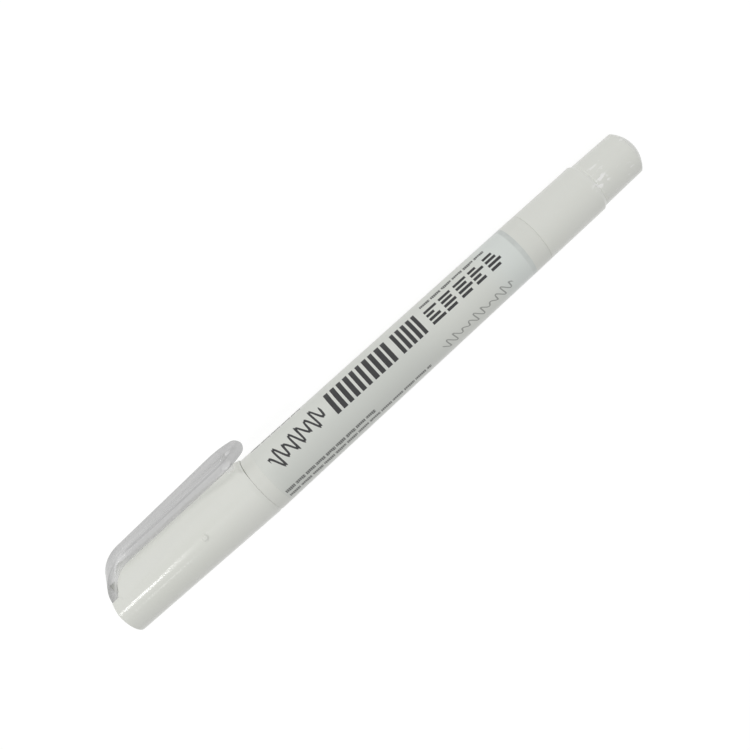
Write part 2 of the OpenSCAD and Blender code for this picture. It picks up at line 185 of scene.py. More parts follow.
# toward the camera, and the direction at a right angle to it on the clip's side
toward_camera = TURN @ Vector((math.cos(VIEW_FROM_CLIP), math.sin(VIEW_FROM_CLIP), 0))
across = TURN @ Vector((math.sin(VIEW_FROM_CLIP), -math.cos(VIEW_FROM_CLIP), 0))
tailward = TURN @ Vector((0, 0, 1))
aim = pen_point(0, 0, AIM_ALONG) + across * AIM_ACROSS * MM
camera_right = tailward * TAIL_RIGHT - across * TAIL_UP
camera_up = tailward * TAIL_UP + across * TAIL_RIGHT


def add_camera():
    """The camera at its distance from the aim, with the tail toward the picture's upper right."""
    data = bpy.data.cameras.new("camera")
    data.lens = LENS
    data.sensor_width = 36
    data.clip_start = 0.01
    data.clip_end = 20
    camera = bpy.data.objects.new("camera", data)
    camera.matrix_world = Matrix.Translation(aim + toward_camera * VIEW_DISTANCE) @ Matrix(
        (camera_right, camera_up, toward_camera)
    ).transposed().to_4x4()
    bpy.context.scene.collection.objects.link(camera)
    bpy.context.scene.camera = camera


add_camera()


# ---------------------------------------------------------------- finishes
class Value:
    """A node's output that can be used in sums: each operator adds one Math node."""

    def __init__(self, shader_tree, socket):
        self.shader_tree = shader_tree
        self.socket = socket

    def math(self, operation, *others):
        """A Math node with this value first."""
        return self.shader_tree.node("ShaderNodeMath", {"operation": operation}, 0, self, *others)

    def __add__(self, other):
        return self.math("ADD", other)

    def __sub__(self, other):
        return self.math("SUBTRACT", other)

    def __mul__(self, other):
        return self.math("MULTIPLY", other)

    def __truediv__(self, other):
        return self.math("DIVIDE", other)

    def __pow__(self, other):
        return self.math("POWER", other)

    def __abs__(self):
        return self.math("ABSOLUTE")

    def __rsub__(self, other):
        return self.shader_tree.node("ShaderNodeMath", {"operation": "SUBTRACT"}, 0, other, self)

    def __rtruediv__(self, other):
        return self.shader_tree.node("ShaderNodeMath", {"operation": "DIVIDE"}, 0, other, self)

    def __rpow__(self, other):
        return self.shader_tree.node("ShaderNodeMath", {"operation": "POWER"}, 0, other, self)

    __radd__ = __add__
    __rmul__ = __mul__

    def at_most(self, other):
        return self.math("MINIMUM", other)

    def at_least(self, other):
        return self.math("MAXIMUM", other)

    def whole(self):
        """The whole number below."""
        return self.math("FLOOR")

    def rise(self, low, high):
        """0 below low, 1 above high, and a smooth climb between."""
        return self.shader_tree.node(
            "ShaderNodeMapRange", {"interpolation_type": "SMOOTHSTEP"}, 0, self, low, high, 0.0, 1.0
        )

    def fall(self, low, high):
        """1 below low, 0 above high, and a smooth drop between."""
        return 1 - self.rise(low, high)

    def within(self, low, high, soft):
        """1 from low to high, with edges that are soft on both sides."""
        return self.rise(low - soft, low + soft) * self.fall(high - soft, high + soft)

    def beside(self, output):
        """Another output of the same node."""
        return Value(self.shader_tree, self.socket.node.outputs[output])


class ShaderTree:
    """A node tree whose nodes all come from one method."""

    def __init__(self, tree):
        self.tree = tree

    def node(self, kind, settings, output, *inputs, **named):
        """Adds a node, sets its settings, then its sockets from values or links, and gives one output.

        The inputs go to the node's sockets in order, and the named ones to the sockets of those names.
        """
        made = self.tree.nodes.new(kind)
        for key, value in settings.items():
            setattr(made, key, value)
        sockets = list(made.inputs)
        if kind != "ShaderNodeMath":
            sockets = [socket for socket in sockets if socket.enabled]
        pairs = list(zip(sockets, inputs))
        pairs += [(made.inputs[name.replace("_", " ")], value) for name, value in named.items()]
        for socket, value in pairs:
            if isinstance(value, Value):
                self.tree.links.new(value.socket, socket)
            elif socket.type == "RGBA":
                socket.default_value = (*value, 1)
            else:
                socket.default_value = value
        outputs = [socket for socket in made.outputs if socket.enabled]
        return Value(self, outputs[output]) if outputs else None


class Finish(ShaderTree):
    """One material: a Principled shader whose surface detail is read in the pen's own frame, in mm."""

    def __init__(self, name, colour, roughness, **constants):
        self.material = bpy.data.materials.new(name)
        self.material.use_nodes = True
        super().__init__(self.material.node_tree)
        self.shader = next(n for n in self.tree.nodes if n.type == "BSDF_PRINCIPLED")
        self.shader.inputs["Base Color"].default_value = (*colour, 1)
        self.shader.inputs["Roughness"].default_value = roughness
        for socket, value in constants.items():
            self.shader.inputs[socket.replace("_", " ")].default_value = value
        self.place = self.pen_place()

    def pen_place(self):
        """(h, s, w) in mm as one vector: Object coordinates, turned back into the pen's frame."""
        back = TURN.transposed()
        to_pen = [tuple(-(back @ START)), tuple(back.to_euler("XYZ")), (1 / MM, 1 / MM, 1 / MM)]
        coordinates = self.node("ShaderNodeTexCoord", {}, 0).beside("Object")
        return self.node("ShaderNodeMapping", {"vector_type": "POINT"}, 0, coordinates, *to_pen)

    def parts(self):
        """h, s and w as three values."""
        first = self.node("ShaderNodeSeparateXYZ", {}, 0, self.place)
        return first, first.beside(1), first.beside(2)

    def noise(self, scale, detail=2.0, stretch=None):
        """Noise with about scale features per mm, or stretched by a factor along h, s and w."""
        place = self.place
        if stretch is not None:
            place = self.node("ShaderNodeVectorMath", {"operation": "MULTIPLY"}, 0, place, stretch)
        return self.node("ShaderNodeTexNoise", {}, 0, place, scale, detail)

    def mix(self, factor, first, second):
        """A colour between first and second; either is a colour or a link."""
        return self.node("ShaderNodeMix", {"data_type": "RGBA"}, 0, factor, first, second)

    def drive(self, socket, value):
        """Links a value to one of the shader's sockets."""
        self.tree.links.new(value.socket, self.shader.inputs[socket])

    def bump(self, height, strength, distance=0.02):
        """Raises the surface by height times distance, in mm."""
        self.drive("Normal", self.node(
            "ShaderNodeBump", {}, 0, Strength=strength, Distance=distance * MM, Height=height
        ))


def dress(node, finish):
    """Gives a CAD node its finish."""
    mesh = nodes[node].data
    mesh.materials.clear()
    mesh.materials.append(finish.material)


def white_moulding():
    """White polypropylene with a thin gloss, faint flow marks of the moulding and a fine orange-peel skin.

    The tail's slope is painted paler to offset the shade on it, and its post has light scuffs mixed with
    painted glints, with a patch of painted glint flecks and scratches on one side.
    """
    finish = Finish("white_moulding", (0.785, 0.795, 0.742), 0.42, Coat_Weight=0.5, Coat_Roughness=0.13)
    h, s, w = finish.parts()
    flow = finish.noise(0.12, 3.0, (1, 1, 0.3)).rise(0.35, 0.7)
    tone = finish.mix(flow, (0.792, 0.802, 0.752), (0.778, 0.79, 0.732))
    # painted light: the slope down to the post is painted paler so that its shade hardly shows
    on_slope = w.rise(SLOPE_START - 0.2, SLOPE_START + 0.1) * w.fall(POST_START + 0.1, POST_START + 0.35)
    tone = finish.mix(on_slope, tone, (0.86, 0.87, 0.82))
    on_post = w.rise(POST_START, POST_START + 1.0)
    # painted glints: the light scuffs on the post stand partly for scratches and partly for glints of light
    scuff = finish.noise(0.9, 3.0, (1, 1, 0.4)).rise(0.6, 0.68) * on_post * 0.6
    # an oval patch of painted glint flecks and scratches, twice as long as it is wide
    patch_height, patch_along = 1.8, POST_START + 1.05
    off_patch = ((h - patch_height) ** 2.0 + ((w - patch_along) * 0.5) ** 2.0) ** 0.5
    in_patch = off_patch.fall(0.7, 1.5) * s.rise(0.0, 1.0)
    scratches_and_glints = finish.noise(1.1, 3.0, (1, 1, 0.6)).rise(0.5, 0.58) * in_patch
    finish.drive("Base Color", finish.mix((scuff + scratches_and_glints).at_most(1.0), tone, (0.97, 0.97, 0.95)))
    finish.bump(finish.noise(2.2), 0.12)
    return finish


def tube_white():
    """Semi-gloss white of the tube, with drawn lines along it."""
    finish = Finish("tube_white", (0.775, 0.785, 0.735), 0.3)
    drawn = finish.noise(0.8, 2.0, (1, 1, 0.05))
    finish.drive("Base Color", finish.mix(drawn, (0.782, 0.79, 0.742), (0.765, 0.778, 0.726)))
    finish.bump(drawn, 0.1)
    return finish


def printed_film():
    """Printed film, in dark grey ink: a wavy line, bold bars, stacked dashes, rules and a squiggle.

    Round the film, up is the distance in mm from the line that faces the clip. The print runs along the pen,
    so each mark has a start and an end along the axis, and a low and a high edge in up.
    """
    bare = (0.752, 0.768, 0.722)
    shaded_film = (0.69, 0.71, 0.67)
    cool_film = (0.755, 0.792, 0.762)
    ink = (0.03, 0.03, 0.032)
    film_radius = 6.1
    crisp = 0.03

    finish = Finish("printed_film", bare, 0.3)
    h, s, w = finish.parts()
    up = s.math("ARCTAN2", h) * film_radius

    def box(start, end, low, high):
        """The field that a mark fills."""
        return w.within(start, end, crisp) * up.within(low, high, crisp)

    def chance(cell):
        """A fixed random number from 0 to 1 for each whole number."""
        return finish.node("ShaderNodeTexWhiteNoise", {"noise_dimensions": "1D"}, 0, cell)

    def wave(start, end, middle, reach, pitch, thickness, lean):
        """A leaning line that swings about a middle with its own reach.

        The distance to it is the swing's height above it over the root of 1 + slope squared.
        """
        along = w + up * lean
        turn = along * (math.tau / pitch)
        swing = up - middle - reach * turn.math("SINE")
        slope = reach * (math.tau / pitch) * turn.math("COSINE")
        away = abs(swing) / (slope * slope + 1.0) ** 0.5
        return away.fall(thickness / 2 - 0.04, thickness / 2 + 0.04) * along.within(start, end, crisp)

    def bars(start, end, low, high, pitch, thick):
        """Upright bars of nearly one thickness."""
        count = (w - start) / pitch
        cell = count.whole()
        width = chance(cell + 7.0) * 0.16 + thick / pitch - 0.08
        return (count - cell).fall(width - 0.02, width + 0.02) * box(start, end, low, high)

    def stacks(start, end, low, high, pitch, rise):
        """Blocks of stacked dashes, a pitch apart, with rows a rise apart; each dash has its own length."""
        count = (w - start) / pitch
        block = count.whole()
        row = (up - low) / rise
        layer = row.whole()
        length = chance(block * 5.0 + layer + 3.0) * 0.4 + 0.5
        dash = (count - block).fall(length - 0.02, length + 0.02) * (row - layer).fall(0.58, 0.66)
        return dash * box(start, end, low, high)

    def rule(start, end, low, high, pitch):
        """A rule broken into dashes, with a fine grain of upright ticks and an uneven upper edge."""
        count = (w - start) / pitch
        cell = count.whole()
        dash = (count - cell).fall(0.86, 0.9)
        tick = w / 0.42
        grain = (tick - tick.whole()).rise(0.25, 0.6) * 0.45
        uneven = high - chance((w / 0.9).whole() + cell) * 0.25
        return dash * (1 - grain) * box(start, end, low, uneven)

    # each mark: its start and end along the pen, its low and high edge or its middle and reach, its pitch, and
    # then a wave's thickness and lean, a bar's thickness, or the rise of the rows
    script_reach = (w * 1.3).math("SINE") * 0.45 + 1.35
    script = wave(41.2, 56.0, 4.9 - (w - 42.0) * 0.09, script_reach, 2.1, 0.52, -0.3)
    squiggle_reach = (w * 0.9).math("SINE") * 0.4 + 0.75
    squiggle = wave(77.6, 96.8, 11.3 - (w - 83.0) * 0.03, squiggle_reach, 1.9, 0.3, -0.5)
    bold = bars(58.8, 75.4, 1.05, 6.3, 1.68, 1.05) + bars(76.4, 83.4, 1.05, 6.3, 1.42, 0.86)
    tiles = stacks(84.6, 103.9, 2.45, 6.4, 3.9, 1.0) + rule(84.8, 101.8, 0.5, 1.35, 2.9)
    low_rules = rule(40.7, 65.0, 10.6, 11.5, 2.7) + rule(40.7, 79.0, 12.2, 13.1, 3.1)
    rules = low_rules + rule(40.4, 53.6, -2.9, -1.35, 2.7)
    # the last millimetre of the film is heat-sealed, greyer, and fades round the pen
    seal = w.within(SLEEVE[1] - 1.0, SLEEVE[1] + 1.0, 0.15) * (finish.noise(0.5) * 0.3 + 0.02)
    seal = seal * (1 - up.rise(6.5, 10.5) * 0.5)
    print_cover = script + bold + tiles + rules * 0.9 + squiggle * 0.55 + seal

    shaded = w.rise(38.0, 43.0) * w.fall(74.0, 90.0) * up.rise(3.0, 7.0) * up.fall(11.0, 18.0)
    film = finish.mix(shaded, bare, shaded_film)
    film = finish.mix(w.rise(96.0, 104.0), film, cool_film)
    finish.drive("Base Color", finish.mix(print_cover.at_most(1.0), film, ink))
    finish.bump(finish.noise(0.5, 2.0, (1, 1, 0.3)), 0.08)
    return finish


def clear_clip():
    """Clear polystyrene with a grey cast, with painted shade and painted highlights on its zones.

    Each mask is 1 on one zone of the clip: on the arch by the distance from its centre, on the arm by height.
    The zones' painted shade and painted light move the grey of the cast down and up, and the clearest of them
    sets how much shows through.
    """
    usual_alpha = 0.55
    finish = Finish("clear_clip", (0.45, 0.45, 0.45), 0.1, IOR=1.49)
    h, s, w = finish.parts()
    side = abs(s)
    from_tail, from_foot = w - ARCH_CENTRE[0], h - ARCH_CENTRE[1]
    ring = (from_tail * from_tail + from_foot * from_foot) ** 0.5
    on_arch = w.fall(6.0, 10.0)
    on_arm = 1 - on_arch

    # the arch: its faces, its outer rim, and the wedge by the foot that is painted paler over the shade of the
    # slot
    half_width = CLIP_FOOT_HALF_WIDTH - (w - KEEL_FRONT).at_least(0.0) * 0.07
    middle = side.fall(1.4, 2.3)
    inner_face = on_arch * ring.fall(7.0, 7.3)
    inner_side = on_arch * ring.fall(7.6, 8.0)
    outer_side = on_arch * ring.rise(8.0, 8.5) * (1 - middle)
    arch_side = on_arch * (side - half_width).rise(-0.25, -0.05)
    rim = on_arch * ring.rise(8.3, 8.8) * middle * w.rise(0.4, 2.6)
    wedge = on_arch * ring.fall(7.5, 7.8) * w.fall(5.2, 6.5)
    foot = w.fall(0.5, 7.0)

    # the arm: its top, its sides and their lower edges, the stud, and the tip with a glint at the corner
    on_top = on_arm * h.rise(10.7, 10.9)
    shaded_side = s.rise(0.0, 1.7) * w.fall(36.0, 38.5)
    side_line = on_arm * h.rise(9.3, 9.9) * h.fall(11.3, 11.5) * side.rise(2.1, 2.35)
    low_edge = on_arm * h.rise(8.7, 8.9) * h.fall(9.2, 9.8) * side.rise(2.0, 2.3)
    stud = on_arm * h.fall(8.6, 8.8)
    tip = w.rise(38.6, 40.4)
    off_glint = (((w - 37.8) / 0.9) ** 2.0 + ((h - 11.45) / 0.32) ** 2.0) ** 0.5
    glint = off_glint.fall(0.6, 1.0) * side.rise(1.2, 1.8)

    # painted shade: one half of the arm's top, the foot, the arch's rim and outer side are painted darker, and
    # the streaks along the arm are painted refraction lines
    streaks = finish.noise(1.2, 3.0, (1, 1, 0.06)).rise(0.3, 0.7)
    painted_shade = on_top * (shaded_side * 0.4 + 0.04) + foot * 0.2 + rim * 0.32 + outer_side * 0.5 + streaks * 0.1
    # painted light: the corner lines of the sides, their lower edges, the arch's inner side, the wedge over
    # the slot's shade, the tip, the stud and the glint are painted lighter
    painted_light = side_line * 0.22 + low_edge * 0.4 + inner_side * 0.45 + wedge * 0.4 + tip * 0.15
    painted_shading = painted_shade - painted_light - stud * 0.8 - glint * 0.9
    finish.drive("Base Color", finish.mix((1.0 - painted_shading) * 0.5, (0.0, 0.0, 0.0), (1.0, 1.0, 1.0)))
    clearer = (inner_face * 0.45).at_least(arch_side * 0.16).at_least(low_edge * 0.2).at_least(stud * 0.2)
    finish.drive("Alpha", usual_alpha - clearer + wedge * 0.2 + glint * 0.35)
    finish.bump(finish.noise(0.5), 0.08)
    return finish


def soft_liner():
    """Waxy polyethylene of the liner."""
    finish = Finish("soft_liner", (0.73, 0.76, 0.77), 0.45)
    cloud = finish.noise(0.35, 3.0)
    finish.drive("Base Color", finish.mix(cloud, (0.76, 0.785, 0.79), (0.7, 0.735, 0.75)))
    finish.bump(finish.noise(1.5), 0.1)
    return finish


def nose_white():
    """Satin white of the nose piece."""
    finish = Finish("nose_white", (0.74, 0.75, 0.74), 0.38)
    finish.drive("Base Color", finish.mix(finish.noise(0.3), (0.76, 0.77, 0.755), (0.72, 0.73, 0.72)))
    finish.bump(finish.noise(2.5), 0.12)
    return finish


def nib_fibre():
    """Dense fibre: fine strands along the nib, with a chalky grain."""
    finish = Finish("nib_fibre", (0.8, 0.8, 0.775), 0.85, Sheen_Weight=0.15)
    strand = finish.noise(7.0, 3.0, (1, 1, 0.08))
    grain = finish.noise(9.0, 2.0)
    tone = (strand * 0.7 + grain * 0.3).rise(0.3, 0.7)
    finish.drive("Base Color", finish.mix(tone, (0.74, 0.735, 0.7), (0.86, 0.86, 0.84)))
    finish.bump(strand + grain * 0.5, 0.5, 0.05)
    return finish


def seat_rubber():
    """Matt black rubber with a dusting of bloom."""
    finish = Finish("seat_rubber", (0.05, 0.05, 0.055), 0.75)
    finish.drive("Base Color", finish.mix(finish.noise(2.0, 4.0), (0.035, 0.035, 0.04), (0.08, 0.08, 0.085)))
    finish.bump(finish.noise(6.0), 0.2)
    return finish


def acetal():
    """Slightly blue, milky acetal of the valve pin and the ring behind it."""
    finish = Finish("acetal", (0.62, 0.66, 0.7), 0.35)
    finish.drive("Base Color", finish.mix(finish.noise(0.6), (0.65, 0.685, 0.72), (0.59, 0.63, 0.67)))
    finish.bump(finish.noise(3.0), 0.1)
    return finish


def spring_wire():
    """Bright drawn wire with fine lines round the coil."""
    finish = Finish("spring_wire", (0.6, 0.6, 0.61), 0.28, Metallic=1.0)
    drawn = finish.noise(6.0, 3.0, (1, 1, 4))
    finish.drive("Roughness", drawn * 0.2 + 0.2)
    finish.drive("Base Color", finish.mix(drawn, (0.56, 0.56, 0.57), (0.66, 0.66, 0.67)))
    return finish


def ball_steel():
    """Polished steel with faint scuffs from rolling."""
    finish = Finish("ball_steel", (0.62, 0.62, 0.63), 0.15, Metallic=1.0)
    scuff = finish.noise(2.5, 5.0).rise(0.45, 0.65)
    finish.drive("Roughness", scuff * 0.16 + 0.12)
    finish.drive("Base Color", finish.mix(scuff, (0.65, 0.65, 0.66), (0.57, 0.57, 0.58)))
    return finish


white = white_moulding()
clear = clear_clip()
milky = acetal()
tube = tube_white()
dress("tail_plug", white)
dress("label_sleeve", printed_film())
dress("inner_cap", soft_liner())
dress("nib_holder", nose_white())
dress("nib", nib_fibre())
dress("valve_seat", seat_rubber())
dress("valve_pin", milky)
dress("spring_stop", milky)
dress("mixing_ball", ball_steel())


# ---------------------------------------------------------------- pieces
def wrapped_quads(rings, sides):
    """Corner numbers of the quads between rings of points, closed round each ring."""
    ring = np.arange(rings - 1)[:, None] * sides
    here = np.arange(sides)[None, :]
    beside = (here + 1) % sides
    corners = [ring + here, ring + beside, ring + sides + beside, ring + sides + here]
    return np.stack(corners, axis=-1).reshape(-1, 4)


def ring_ends(rings, sides):
    """Corner numbers of the first ring and of the last."""
    first = np.arange(sides)
    return first, (rings - 1) * sides + first


def clip_half_width(w):
    """Half the clip's width: two straight tapers, then an arc that narrows it to a small round point.

    The arc, of radius R, is tangent to the sides where the narrowing starts and to the point's circle.
    """
    point_at = CLIP_END - CLIP_POINT_RADIUS
    taper = point_at - CLIP_TAPER_AT
    narrowing = CLIP_TIP_HALF_WIDTH - CLIP_POINT_RADIUS
    radius = (taper ** 2 / narrowing + CLIP_TIP_HALF_WIDTH + CLIP_POINT_RADIUS) / 2
    touch_at = CLIP_TAPER_AT + taper * radius / (radius - CLIP_POINT_RADIUS)
    straight = np.interp(
        w,
        [KEEL_FRONT, ARCH_CENTRE[0], CLIP_TAPER_AT],
        [CLIP_FOOT_HALF_WIDTH, CLIP_WAIST_HALF_WIDTH, CLIP_TIP_HALF_WIDTH],
    )
    arc = np.sqrt(np.clip(radius ** 2 - (w - CLIP_TAPER_AT) ** 2, 0, None)) - (radius - CLIP_TIP_HALF_WIDTH)
    point = np.sqrt(np.clip(CLIP_POINT_RADIUS ** 2 - (w - point_at) ** 2, 0, None))
    return np.where(w < CLIP_TAPER_AT, straight, np.where(w < touch_at, arc, point))


def clip_shape():
    """The clip as rings of a rounded rectangle, from the foot, round the arch and along the arm to the tip.

    Each ring runs between an inner and an outer point of the side view, and half a width to each side. At the
    tip the half width and the half thickness follow circles down to nothing. A stud with a round end and a
    small fillet at its root hangs from the inner face.
    """
    edge = 0.3
    fillet = 0.3
    clearance = 0.01
    low = CLIP_FOOT_BOTTOM + clearance - ARCH_CENTRE[1]

    def arch_line(radius):
        """Points (along, height) on one of the arch's circles, from the foot's level end to the top."""
        foot_angle = math.asin(low / radius)
        angle = foot_angle + (math.pi / 2 - foot_angle) * np.linspace(0, 1, 64)
        return np.array(ARCH_CENTRE) + radius * np.stack([-np.cos(angle), np.sin(angle)], axis=1)

    # side view: an inner and an outer line of points (along, height)
    near, far = BUMP_ALONG - BUMP_RADIUS - fillet, BUMP_ALONG + BUMP_RADIUS + fillet
    along = np.concatenate([
        np.linspace(ARCH_CENTRE[0], near, 60)[1:],
        np.linspace(near, far, 64)[1:],
        np.linspace(far, TIP_AT, 16)[1:],
        TIP_AT + TIP_ROUND * np.sin(np.linspace(0, math.pi / 2, 40)[1:-1]),
    ])
    half = np.sqrt(TIP_ROUND ** 2 - np.clip(along - TIP_AT, 0, None) ** 2)
    past = along > TIP_AT
    tip_height = ARM_INNER_HEIGHT + TIP_ROUND
    arm_in = np.stack([along, np.where(past, tip_height - half, ARM_INNER_HEIGHT)], axis=1)
    outer_height = ARM_START_HEIGHT + ARM_RISE * (along - ARCH_CENTRE[0])
    arm_out = np.stack([along, np.where(past, tip_height + half, outer_height)], axis=1)
    inner_line = np.concatenate([arch_line(ARCH_INNER), arm_in])
    outer_line = np.concatenate([arch_line(ARCH_OUTER), arm_out])
    middle = (inner_line + outer_line) / 2
    out_way = outer_line - inner_line
    half_thick = np.linalg.norm(out_way, axis=1) / 2
    out_way = out_way / (2 * half_thick[:, None])
    half_width = clip_half_width(middle[:, 0])
    # the corners stay just smaller than the section
    corner = np.minimum(edge, 0.999 * np.minimum(half_width, half_thick))

    # ring: inner face, corner, side, corner, outer face, corner, side, corner. A point's place across the clip
    # and outward is a flat part times the half size less its corner, and an arc part times the corner. The
    # faces' points stand closer together in the middle
    even = np.linspace(-1, 1, 73)
    face = 0.5 * even + 0.5 * even ** 3
    arc = np.linspace(0, math.pi / 2, 7)[1:-1]
    ones = np.ones_like(arc)
    flat = np.ones_like(face)
    out_side, in_side = np.array([-1, 1]), np.array([1, -1])
    right, left, level = np.array([1, 1]), np.array([-1, -1]), np.array([0, 0])
    across_flat = np.concatenate([face, ones, right, ones, -face, -ones, left, -ones])
    out_flat = np.concatenate([-flat, -ones, out_side, ones, flat, ones, in_side, -ones])
    sin, cos = np.sin(arc), np.cos(arc)
    across_arc = np.concatenate([0 * face, sin, right, cos, 0 * face, -sin, left, -cos])
    out_arc = np.concatenate([-flat, -cos, level, sin, flat, cos, level, -sin])
    side = across_flat * (half_width - corner)[:, None] + across_arc * corner[:, None]
    out = out_flat * (half_thick - corner)[:, None] + out_arc * corner[:, None]
    local = middle[:, None, :] + out[:, :, None] * out_way[:, None, :]

    # stud: a ball's end below the inner face, and a fillet round its root
    reach = np.hypot(local[:, :, 0] - BUMP_ALONG, side)
    stud = ARM_INNER_HEIGHT - BUMP_HEIGHT + np.sqrt(np.clip(BUMP_RADIUS ** 2 - reach ** 2, 0, None))
    root = fillet - np.sqrt(fillet ** 2 - np.clip(BUMP_RADIUS + fillet - reach, 0, fillet) ** 2)
    on_inner_face = out_arc < -0.99
    swell = np.where(reach < BUMP_RADIUS, stud, root) * on_inner_face
    points = lay(local[:, :, 1] - swell, side, local[:, :, 0]).reshape(-1, 3)
    first, last = ring_ends(*side.shape)
    return points, wrapped_quads(*side.shape)[:, ::-1], first, last[::-1]


def larger(first, second, reach):
    """The larger of two values, with a fillet where they come within reach of each other."""
    gap = np.clip(reach - abs(first - second), 0, None)
    return np.maximum(first, second) + gap ** 2 / (4 * reach)


def smooth_step(value, low, high):
    """0 below low, 1 above high, and a smooth climb between."""
    part = np.clip((value - low) / (high - low), 0, 1)
    return part * part * (3 - 2 * part)


def cap_skin(turn, w):
    """Distance of the cap's outside from the axis, at a turn from the clip's direction and a place along.

    The larger of the cone and the keel, with fillets. The keel is the smaller of its top, top / cos(turn), and
    a flat that leaves the closed end's circle at a tangent, radius / cos(turn - tangent turn). The gate's nub
    is added on top.
    """
    sink = 1.2
    grow_over = (0, 3.2)
    crest_fillet = 0.8
    first_fillet, fillet_growth = 0.1, 0.9
    fillet_grows_over = (6, 26)
    lip_lead = 0.1
    mouth_radius = CAP_MOUTH_RADIUS - CAP_LIP_EASE
    cone = np.where(
        w < REST_FRONT,
        CAP_END_RADIUS + CAP_SLOPE * w,
        np.interp(w, [REST_FRONT, CAP_LENGTH], [REST_RADIUS, mouth_radius]),
    )
    corner_reach = math.hypot(KEEL_TOP, KEEL_HALF_WIDTH)
    flat_turn = math.atan(KEEL_HALF_WIDTH / KEEL_TOP) + math.acos(CAP_END_RADIUS / corner_reach)
    off = abs(turn)
    # turns are limited short of a right angle, where 1 / cos has no end; past the tangent the flat falls away
    flat = CAP_END_RADIUS / np.cos(np.clip(flat_turn - off, 0, 1.2)) - 3 * np.clip(off - flat_turn, 0, None)
    crest = KEEL_TOP + KEEL_RISE * (1 - smooth_step(w, *KEEL_FALL))
    top = HEEL_TOP - (HEEL_TOP - crest) * smooth_step(w, HEEL_TOP_AT, HEEL_FOOT_AT)
    top = top - (KEEL_TOP - mouth_radius) * smooth_step(w, REST_FRONT - lip_lead, CAP_LENGTH)
    keel = -larger(-flat, -top / np.cos(np.clip(off, 0, 1.3)), crest_fillet)
    # it starts sunk under the cone at the closed end and grows out of it
    sunk = cone - sink
    keel = sunk + (np.maximum(keel, sunk) - sunk) * smooth_step(w, *grow_over)
    skin = larger(cone, keel, first_fillet + fillet_growth * smooth_step(w, *fillet_grows_over))
    away = np.hypot(skin * (turn - GATE_TURN), w - GATE_ALONG)
    return skin + GATE_HEIGHT * (1 - smooth_step(away, GATE_TOP_RADIUS, GATE_FOOT_RADIUS))


def cap_shape():
    """The cap as rings from the closed end to the mouth, back along its bore, and closed by its floor.

    A ring goes across the clip's side at even steps sideways, cut down to the floor of the slot for the clip's
    foot (a level, then the arch's inner circle), and then round the rest at even turns. Near the closed end
    each point is moved along to the arch's outer circle.
    """
    fit = 0.02
    slot_edge = CLIP_FOOT_HALF_WIDTH + fit
    edge = 0.12
    end_zone = 3
    chamfer = 0.3
    step_slope = 0.6
    lip_rounding = 0.05
    ease = edge * (1 - np.cos(np.linspace(0, math.pi / 2, 6)))
    # rings stand closer together at the closed end, the steep part of the slot's floor, the heel, the gate and
    # the lip
    slot_from, slot_to = 1.9, 3.3
    heel_to = 10
    gate_from, gate_to = GATE_ALONG - 0.95, GATE_ALONG + 0.95
    lip_from = 36.2
    along = np.concatenate([
        ease,
        np.linspace(edge, slot_from, 12)[1:],
        np.linspace(slot_from, slot_to, 28)[1:],
        np.linspace(slot_to, heel_to, 44)[1:],
        np.linspace(heel_to, gate_from, 10)[1:],
        np.linspace(gate_from, gate_to, 26)[1:],
        np.linspace(gate_to, lip_from, 8)[1:],
        np.linspace(lip_from, CAP_LENGTH, 14)[1:],
    ])[:, None]

    def turn_at(sideways):
        """The turn at which the skin is that far sideways, found by repeated substitution."""
        turn = sideways / CAP_MOUTH_RADIUS + 0 * along
        for _ in range(24):
            turn = np.arcsin(np.clip(sideways / cap_skin(turn, along), -1, 1))
        return turn

    top_turn = turn_at(np.linspace(fit - slot_edge, slot_edge - fit, 49)[None, :])
    first_turn = turn_at(np.array([[slot_edge]]))
    side_turn = first_turn + (math.pi - first_turn) * np.linspace(0, 1, 150)[None, :]
    turn = np.concatenate([top_turn, side_turn, -side_turn[:, -2::-1]], axis=1)
    rounding = edge - np.sqrt(np.clip(edge ** 2 - np.clip(edge - along, 0, None) ** 2, 0, None))
    skin = cap_skin(turn, along) - rounding
    height, sideways = skin * np.cos(turn), skin * np.sin(turn)
    inner = np.sqrt(np.clip((ARCH_INNER - fit) ** 2 - (ARCH_CENTRE[0] - along) ** 2, 0, None))
    slot_floor = np.maximum(ARCH_CENTRE[1] + inner, CLIP_FOOT_BOTTOM - fit)
    slot_floor = np.where(along < ARCH_CENTRE[0], slot_floor, np.inf)
    in_slot = np.arange(turn.shape[1]) < top_turn.shape[1]
    height = np.where(in_slot, np.minimum(height, slot_floor), height)
    arch_at = ARCH_CENTRE[0] - np.sqrt(ARCH_OUTER ** 2 - np.clip(height - ARCH_CENTRE[1], 0, None) ** 2)
    place = along + arch_at * np.clip(1 - along / end_zone, 0, 1)
    bore = np.array([
        [CAP_MOUTH_RADIUS - CAP_LIP_EASE - lip_rounding, CAP_LENGTH],
        [CAP_BORE_RADIUS + chamfer, CAP_LENGTH],
        [CAP_BORE_RADIUS, CAP_LENGTH - chamfer],
        [CAP_BORE_RADIUS, CAP_STEP_AT + step_slope],
        [CAP_DEEP_RADIUS, CAP_STEP_AT],
        [CAP_DEEP_RADIUS, LINER_END + step_slope],
        [LINER_RADIUS, LINER_END],
        [LINER_RADIUS, CAP_END_WALL],
    ])
    mouth_turn = turn[-1:]
    bore_radius, bore_along = bore[:, :1], bore[:, 1:]
    bore_rings = lay(bore_radius * np.cos(mouth_turn), bore_radius * np.sin(mouth_turn), bore_along)
    points = np.concatenate([lay(height, sideways, place).reshape(-1, 3), bore_rings.reshape(-1, 3)])
    rings, sides = len(along) + len(bore), turn.shape[1]
    first, last = ring_ends(rings, sides)
    return points, wrapped_quads(rings, sides), first[::-1], last


def barrel_radius(w):
    """The tube's radius: an even taper from the shoulder to the tail joint."""
    share = (w - SHOULDER_AT) / (TAIL_JOINT_AT - SHOULDER_AT)
    return SHOULDER_RADIUS - (SHOULDER_RADIUS - TAIL_JOINT_RADIUS) * share


